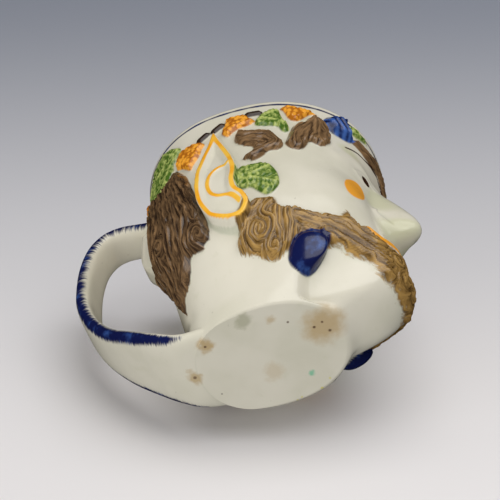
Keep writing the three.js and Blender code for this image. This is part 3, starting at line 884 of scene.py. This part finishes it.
def glaze_material():
    """Cream glaze with its stains, and the paint over it."""
    n = Nodes("glazed_earthenware")
    place = n.add("ShaderNodeTexCoord").outputs["Object"]
    coarse = n.noise(place, 38.0, 3.0)
    medium = n.noise(place, 140.0, 3.0)
    mottle = n.noise(place, 420.0, 4.0)
    fine = n.noise(place, 700.0, 2.0)
    brush = n.math("MULTIPLY", n.math("SUBTRACT", medium, 0.5), 1.6)
    speckle = n.math("MULTIPLY", n.math("SUBTRACT", mottle, 0.5), 2.0)

    grain_place = n.add("ShaderNodeCombineXYZ")
    n.join(n.math("MULTIPLY", n.value("grain_across"), 1.3), grain_place.inputs[0])
    n.join(n.math("MULTIPLY", n.value("grain_along"), 0.16), grain_place.inputs[1])
    grain = n.math("SUBTRACT", n.noise(grain_place.outputs[0], 1.0, 3.0, 0.6), 0.5)

    def mask(name, soft, ragged=1.0, uneven=brush):
        """Where one paint lies, with a ragged edge."""
        edge = n.math("ADD", n.value(name), n.math("MULTIPLY", uneven, ragged))
        return n.ramp(edge, -soft, soft)

    cream = n.mix(n.ramp(coarse, 0.35, 0.7), *CREAM)
    cream = n.mix(n.ramp(medium, 0.6, 0.8, 0.0, 0.3), cream, CREAM_CLOUD)
    cream = n.mix(n.ramp(n.value("hollow"), 0.1, 1.2, 0.0, 0.55), cream, CREAM_IN_HOLLOWS)
    cream = n.mix(n.ramp(n.value("pool"), 0.0, 0.9, 0.0, 0.6), cream, CREAM_POOL)
    cream = n.mix(n.ramp(mottle, 0.7, 0.78, 0.0, 0.35), cream, CREAM_SPECK)
    across_foot = n.math("MULTIPLY", n.math("ADD", speckle, n.math("MULTIPLY", brush, 2.5)), STAIN_WANDER)
    for (x, y), radius, strength, colour in STAINS:
        off_centre = n.add("ShaderNodeVectorMath", operation="DISTANCE")
        n.join(place, off_centre.inputs[0])
        off_centre.inputs[1].default_value = (x * MM, y * MM, 0.0)
        uneven = n.math("MULTIPLY", across_foot, min(radius / 4, 1.0))
        reach_out = n.math("ADD", off_centre.outputs["Value"], uneven)
        cream = n.mix(n.ramp(reach_out, radius * MM, 0.3 * radius * MM, 0.0, strength), cream, colour)

    # Hair and beard are painted lighter along the crest of each carved strand and darker between strands,
    # a painted highlight and painted shade, mixed with the paint's own uneven streaks
    strand = n.math("MULTIPLY", n.value("strand"), 0.5)
    streaks_and_strand_shading = n.math("ADD", strand, n.math("MULTIPLY", grain, 3.4))
    light = n.ramp(n.math("ADD", streaks_and_strand_shading, n.math("MULTIPLY", brush, 0.7)), -1.0, 1.15)
    hair_colour = n.mix(light, *HAIR_BROWN)
    beard_colour = n.mix(light, *BEARD_BROWN)
    detail = n.value("detail")
    leaf_light = n.ramp(n.math("ADD", detail, n.math("MULTIPLY", speckle, 1.6)), -0.3, 1.0)
    leaf_colour = n.mix(leaf_light, *LEAF_GREEN)
    # Each grape bead is painted lighter in its middle and darker toward its edge, a painted shade between
    # the beads; the darker grape orange is that shade
    beads = n.add("ShaderNodeTexVoronoi")
    n.join(place, beads.inputs["Vector"])
    beads.inputs["Scale"].default_value = BEADS_PER_METRE
    bead_shading = n.ramp(beads.outputs["Distance"], 0.75, 0.25)
    uneven_bead_shading = n.math("ADD", bead_shading, n.math("MULTIPLY", brush, 0.5))
    grape_tone_and_shading = n.ramp(n.math("MAXIMUM", uneven_bead_shading, detail), 0.0, 1.0)
    grape_colour = n.mix(grape_tone_and_shading, *GRAPE_ORANGE)
    cloudy = n.math("ADD", medium, n.math("MULTIPLY", speckle, 0.2))
    # Blue is lighter where clouded, and on the horn lighter along its ribs, partly a painted highlight
    blue_tone_and_sheen = n.math("ADD", cloudy, n.math("MULTIPLY", detail, 0.3))
    blue_colour = n.mix(n.ramp(blue_tone_and_sheen, 0.5, 1.0), *BLUE)
    ear_colour = n.mix(n.ramp(medium, 0.35, 0.65), *EAR_YELLOW)

    feather = n.math("ADD", n.math("MULTIPLY", grain, 4.0), n.math("MULTIPLY", speckle, 0.8))
    streak = n.math("ADD", n.math("MULTIPLY", grain, 5.0), n.math("MULTIPLY", brush, 0.5))
    colour = n.mix(mask("green", 0.35, 0.7), cream, leaf_colour)
    colour = n.mix(mask("orange", 0.3, 0.4), colour, grape_colour)
    colour = n.mix(mask("beard", 0.6, 1.0, feather), colour, beard_colour)
    colour = n.mix(mask("hair", 0.3, 0.6), colour, hair_colour)
    colour = n.mix(mask("blue", 0.45, 0.6), colour, blue_colour)
    colour = n.mix(mask("strap_blue", 0.9, 1.0, streak), colour, blue_colour)
    colour = n.mix(mask("ear_line", 0.25, 0.3), colour, ear_colour)
    colour = n.mix(mask("dark_line", 0.2, 0.2), colour, LINE_BROWN)

    shader = n.add("ShaderNodeBsdfPrincipled")
    n.join(colour, shader.inputs["Base Color"])
    n.join(n.ramp(fine, 0.3, 0.7, *GLAZE_ROUGHNESS), shader.inputs["Roughness"])
    shader.inputs["IOR"].default_value = GLAZE_INDEX
    bump = n.add("ShaderNodeBump")
    bump.inputs["Strength"].default_value = UNEVEN_STRENGTH
    bump.inputs["Distance"].default_value = UNEVEN_DEPTH
    n.join(medium, bump.inputs["Height"])
    n.join(bump.outputs["Normal"], shader.inputs["Normal"])
    n.join(shader.outputs["BSDF"], n.output.inputs["Surface"])
    return n.material


mug.data.materials.append(glaze_material())
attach(mug, "root")
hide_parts("satyr_mug")

# Camera, level over the photograph's table, which lies along the mug's left side
TABLE_UP = Vector((-0.93, -0.3435, 0.15)).normalized()
EYE = Vector((-441.4, -119.0, -604.6)) * MM
AIM = Vector((-13.1, 1.4, 55.0)) * MM
LENS = 144.0
SENSOR = 36.0
camera_back = (EYE - AIM).normalized()
camera_right = TABLE_UP.cross(camera_back).normalized()
camera_up = camera_back.cross(camera_right)

camera_data = bpy.data.cameras.new("camera")
camera_data.lens = LENS
camera_data.sensor_width = SENSOR
camera_data.clip_start = 0.01
camera = bpy.data.objects.new("camera", camera_data)
axes = Matrix((camera_right, camera_up, camera_back)).transposed()
camera.matrix_world = Matrix.Translation(EYE) @ axes.to_4x4()
bpy.context.scene.collection.objects.link(camera)
bpy.context.scene.camera = camera

# Stage
PAPER_HALF = 0.9
PAPER_SOFT_FROM = 0.6
PAPER_SOFT_TO = 0.88
# The table paper is painted from the near colour to a darker far colour toward its far side, a painted
# shade standing in for light falling off
PAPER_NEAR = srgb(238, 234, 232)
PAPER_FAR_SHADE = srgb(142, 146, 156)
PAPER_SHADE_SPAN = (-0.10, 0.62)
FLOOR_GAP = 0.0002
lowest = min(Vector(v.co).dot(TABLE_UP) for v in mesh.vertices)
away = -camera_back + camera_back.dot(TABLE_UP) * TABLE_UP


def plane(name, centre, normal, half):
    """Square sheet of paper."""
    turn = normal.to_track_quat("Z", "Y").to_matrix().to_4x4()
    corners = [(-half, -half, 0), (half, -half, 0), (half, half, 0), (-half, half, 0)]
    data = bpy.data.meshes.new(name)
    data.from_pydata(corners, [], [(0, 1, 2, 3)])
    data.update()
    made = bpy.data.objects.new(name, data)
    made.matrix_world = Matrix.Translation(centre) @ turn
    bpy.context.scene.collection.objects.link(made)
    return made


def paper_material(name, sheet, near_colour, far_shade_colour, direction):
    """Pale paper seen only from its upper side, painted darker with distance as painted shade, and dying
    away at its edge.
    """
    n = Nodes(name)
    place = n.add("ShaderNodeTexCoord").outputs["Object"]
    length = n.add("ShaderNodeVectorMath", operation="LENGTH")
    n.join(place, length.inputs[0])
    edge = n.ramp(length.outputs["Value"], PAPER_SOFT_FROM, PAPER_SOFT_TO, 1.0, 0.0)
    front = n.math("SUBTRACT", 1.0, n.add("ShaderNodeNewGeometry").outputs["Backfacing"])
    distance = n.add("ShaderNodeVectorMath", operation="DOT_PRODUCT")
    n.join(place, distance.inputs[0])
    distance.inputs[1].default_value = sheet.matrix_world.to_3x3().transposed() @ direction.normalized()
    shader = n.add("ShaderNodeBsdfDiffuse")
    shade = n.ramp(distance.outputs["Value"], *PAPER_SHADE_SPAN)
    n.join(n.mix(shade, near_colour, far_shade_colour), shader.inputs["Color"])
    clear = n.add("ShaderNodeBsdfTransparent")
    blend = n.add("ShaderNodeMixShader")
    n.join(n.math("MULTIPLY", edge, front), blend.inputs[0])
    n.join(clear.outputs[0], blend.inputs[1])
    n.join(shader.outputs[0], blend.inputs[2])
    n.join(blend.outputs[0], n.output.inputs["Surface"])
    return n.material


floor = plane("floor", Vector((0, 0, -FLOOR_GAP)), Vector((0, 0, 1)), PAPER_HALF)
floor_paper = paper_material("floor_paper", floor, PAPER_NEAR, PAPER_NEAR, Vector((0, 1, 0)))
floor.data.materials.append(floor_paper)
table = plane("table", TABLE_UP * lowest, TABLE_UP, PAPER_HALF)
table.data.materials.append(paper_material("table_paper", table, PAPER_NEAR, PAPER_FAR_SHADE, away))
for sheet in (floor, table):
    sheet.visible_shadow = False
    sheet.visible_diffuse = False
    sheet.visible_glossy = False


def area_light(name, direction, distance, size, power, mirrored=False):
    """Soft square light that faces the mug; only a mirrored one shows in the glaze."""
    data = bpy.data.lights.new(name, "AREA")
    data.shape = "SQUARE"
    data.size = size
    data.energy = power
    made = bpy.data.objects.new(name, data)
    made.visible_glossy = mirrored
    made.location = direction.normalized() * distance
    made.rotation_euler = direction.to_track_quat("Z", "Y").to_euler()
    bpy.context.scene.collection.objects.link(made)


# Lights: direction, distance, size and power
area_light("key", TABLE_UP + 0.2 * camera_back + 0.3 * camera_right, 1.2, 1.5, 13.0, mirrored=True)
area_light("fill", camera_back - 0.8 * camera_right - 0.4 * TABLE_UP, 1.3, 1.6, 12.5)
area_light("top", Vector((0.3, -0.2, 1.0)), 1.2, 1.2, 4.0)

# Pale surroundings, kept out of the glaze's reflections
SURROUNDINGS = srgb(196, 197, 202)
SURROUNDINGS_STRENGTH = 0.5
world = bpy.data.worlds.new("studio")
world.use_nodes = True
background = world.node_tree.nodes["Background"]
background.inputs["Color"].default_value = SURROUNDINGS
background.inputs["Strength"].default_value = SURROUNDINGS_STRENGTH
bpy.context.scene.world = world
world.cycles_visibility.glossy = False
bpy.context.scene.view_settings.view_transform = "Standard"
